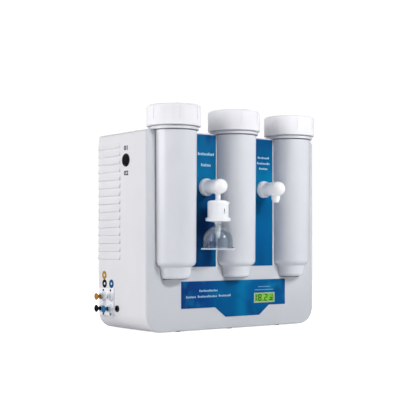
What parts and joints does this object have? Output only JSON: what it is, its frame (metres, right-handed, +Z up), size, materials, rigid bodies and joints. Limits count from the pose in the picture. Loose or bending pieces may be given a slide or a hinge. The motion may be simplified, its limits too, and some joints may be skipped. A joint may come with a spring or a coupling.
{
  "type": "bench-top water purification system",
  "caption": "White bench-top water purifier with screw-capped canisters half sunk in its front, outlet spouts, one with a capsule filter and bell guard, a small display and side ports.",
  "frame": {"origin": "middle of the underside of the middle front foot, on the bench", "axes": "+X to the right along the front as seen by the user, +Y from the front to the back, +Z up"},
  "size_m": [0.4647, 0.2538, 0.4518],
  "materials": {
    "fascia_white": "satin moulded plastic",
    "shell_white": "fine powder coat",
    "cover_white": "fine powder coat",
    "canister_white": "glossy moulded plastic",
    "cap_white": "glossy moulded plastic",
    "spout_white": "glossy moulded plastic",
    "strip_blue": "printed film",
    "label_blue": "printed film",
    "display_rim": "satin",
    "display_green": "backlit liquid crystal",
    "board_green": "solder mask",
    "board_black": "matte",
    "standoff_brass": "turned",
    "clear_plastic": "clear moulded plastic",
    "capsule_white": "matte moulded plastic",
    "filter_white": "pleated membrane",
    "port_grey": "satin",
    "collet_white": "satin",
    "nut_white": "matte",
    "plug_orange": "satin",
    "plug_black": "satin",
    "plug_blue": "satin",
    "switch_black": "matte",
    "inlet_black": "satin",
    "rubber_black": "matte",
    "seal_black": "smooth",
    "screw_steel": "plated",
    "tray_steel": "zinc plated",
    "motor_steel": "satin",
    "head_black": "matte",
    "supply_case": "folded sheet",
    "valve_white": "matte",
    "cell_grey": "matte",
    "cartridge_white": "wound filter",
    "hose_white": "smooth tube"
  },
  "bodies": {
    "housing": {"front_fascia": "fascia_white", "main_shell": "shell_white", "rear_cover": "cover_white", "rear_cover_screws": "screw_steel", "rubber_feet": "rubber_black", "base_tray": "tray_steel", "canister_ports": "port_grey", "cartridges": "cartridge_white", "strip_films": "strip_blue", "label_film": "label_blue", "display_frame": "display_rim", "display_module": "display_green", "control_board": "board_green", "board_standoffs": "standoff_brass", "board_parts": "board_black", "spout_rosettes": "spout_white", "spout_arm_left": "spout_white", "spout_arm_right": "spout_white", "service_plate": "fascia_white", "service_plate_screws": "screw_steel", "port_unions": "port_grey", "panel_nuts": "nut_white", "switch_bezel": "switch_black", "power_inlet": "inlet_black", "pump_motor": "motor_steel", "pump_head": "head_black", "pump_bracket": "tray_steel", "pump_grommets": "rubber_black", "power_supply": "supply_case", "inlet_valve": "valve_white", "outlet_valves": "valve_white", "conductivity_cell": "cell_grey", "hoses": "hose_white", "canister_bowl_left": "canister_white", "canister_bowl_middle": "canister_white", "canister_bowl_right": "canister_white"},
    "capsule": {"capsule_upper": "capsule_white", "capsule_base": "capsule_white", "filter_element": "filter_white", "outlet_nozzle": "clear_plastic"},
    "vent": {"vent_plug": "capsule_white"},
    "bell": {"bell_guard": "clear_plastic"},
    "rocker": {"switch_rocker": "switch_black"},
    "lid_left": {"canister_lid_left": "cap_white", "lid_ring_left": "seal_black"},
    "cap_left": {"canister_cap_left": "cap_white"},
    "lid_middle": {"canister_lid_middle": "cap_white", "lid_ring_middle": "seal_black"},
    "cap_middle": {"canister_cap_middle": "cap_white"},
    "lid_right": {"canister_lid_right": "cap_white", "lid_ring_right": "seal_black"},
    "cap_right": {"canister_cap_right": "cap_white"},
    "collet_1": {"collet_1": "collet_white"},
    "collet_2": {"collet_2": "collet_white"},
    "collet_3": {"collet_3": "collet_white"},
    "collet_4": {"collet_4": "collet_white"},
    "plug_orange": {"plug_orange": "plug_orange"},
    "plug_black": {"plug_black": "plug_black"},
    "plug_blue": {"plug_blue": "plug_blue"}
  },
  "joints": [
    {"name": "lid_lift_left", "type": "slide", "parent": "housing", "child": "lid_left", "axis": [0, 0, 1], "range_m": [0, 0.0121]},
    {"name": "cap_turn_left", "type": "hinge", "parent": "lid_left", "child": "cap_left", "pos_m": [-0.154, -0.0163, 0.43], "axis": [0, 0, 1], "range_deg": [0, 1080]},
    {"name": "lid_lift_middle", "type": "slide", "parent": "housing", "child": "lid_middle", "axis": [0, 0, 1], "range_m": [0, 0.0121]},
    {"name": "cap_turn_middle", "type": "hinge", "parent": "lid_middle", "child": "cap_middle", "pos_m": [0, -0.0163, 0.43], "axis": [0, 0, 1], "range_deg": [0, 1080]},
    {"name": "lid_lift_right", "type": "slide", "parent": "housing", "child": "lid_right", "axis": [0, 0, 1], "range_m": [0, 0.0121]},
    {"name": "cap_turn_right", "type": "hinge", "parent": "lid_right", "child": "cap_right", "pos_m": [0.154, -0.0163, 0.43], "axis": [0, 0, 1], "range_deg": [0, 1080]},
    {"name": "rocker_tilt", "type": "hinge", "parent": "housing", "child": "rocker", "pos_m": [-0.2205, 0.053, 0.3455], "axis": [0, 1, 0], "range_deg": [-9, 9]},
    {"name": "collet_press_1", "type": "slide", "parent": "housing", "child": "collet_1", "axis": [1, 0, 0], "range_m": [0, 0.0014]},
    {"name": "collet_press_2", "type": "slide", "parent": "housing", "child": "collet_2", "axis": [1, 0, 0], "range_m": [0, 0.0014]},
    {"name": "collet_press_3", "type": "slide", "parent": "housing", "child": "collet_3", "axis": [1, 0, 0], "range_m": [0, 0.0014]},
    {"name": "collet_press_4", "type": "slide", "parent": "housing", "child": "collet_4", "axis": [1, 0, 0], "range_m": [0, 0.0014]},
    {"name": "plug_pull_orange", "type": "slide", "parent": "housing", "child": "plug_orange", "axis": [-1, 0, 0], "range_m": [0, 0.025]},
    {"name": "plug_pull_black", "type": "slide", "parent": "housing", "child": "plug_black", "axis": [-1, 0, 0], "range_m": [0, 0.025]},
    {"name": "plug_pull_blue", "type": "slide", "parent": "housing", "child": "plug_blue", "axis": [-1, 0, 0], "range_m": [0, 0.025]},
    {"name": "capsule_pull", "type": "slide", "parent": "housing", "child": "capsule", "axis": [0, 0, -1], "range_m": [0, 0.016]},
    {"name": "bell_pull", "type": "slide", "parent": "capsule", "child": "bell", "axis": [0, 0, -1], "range_m": [0, 0.03]},
    {"name": "vent_turn", "type": "hinge", "parent": "capsule", "child": "vent", "pos_m": [-0.055, -0.0605, 0.2595], "axis": [1, 0, 0], "range_deg": [0, 180]}
  ],
  "couplings": [
    {"joint": "lid_lift_left", "follows": "cap_turn_left", "m_per_rad": 0.00063662},
    {"joint": "lid_lift_middle", "follows": "cap_turn_middle", "m_per_rad": 0.00063662},
    {"joint": "lid_lift_right", "follows": "cap_turn_right", "m_per_rad": 0.00063662}
  ]
}
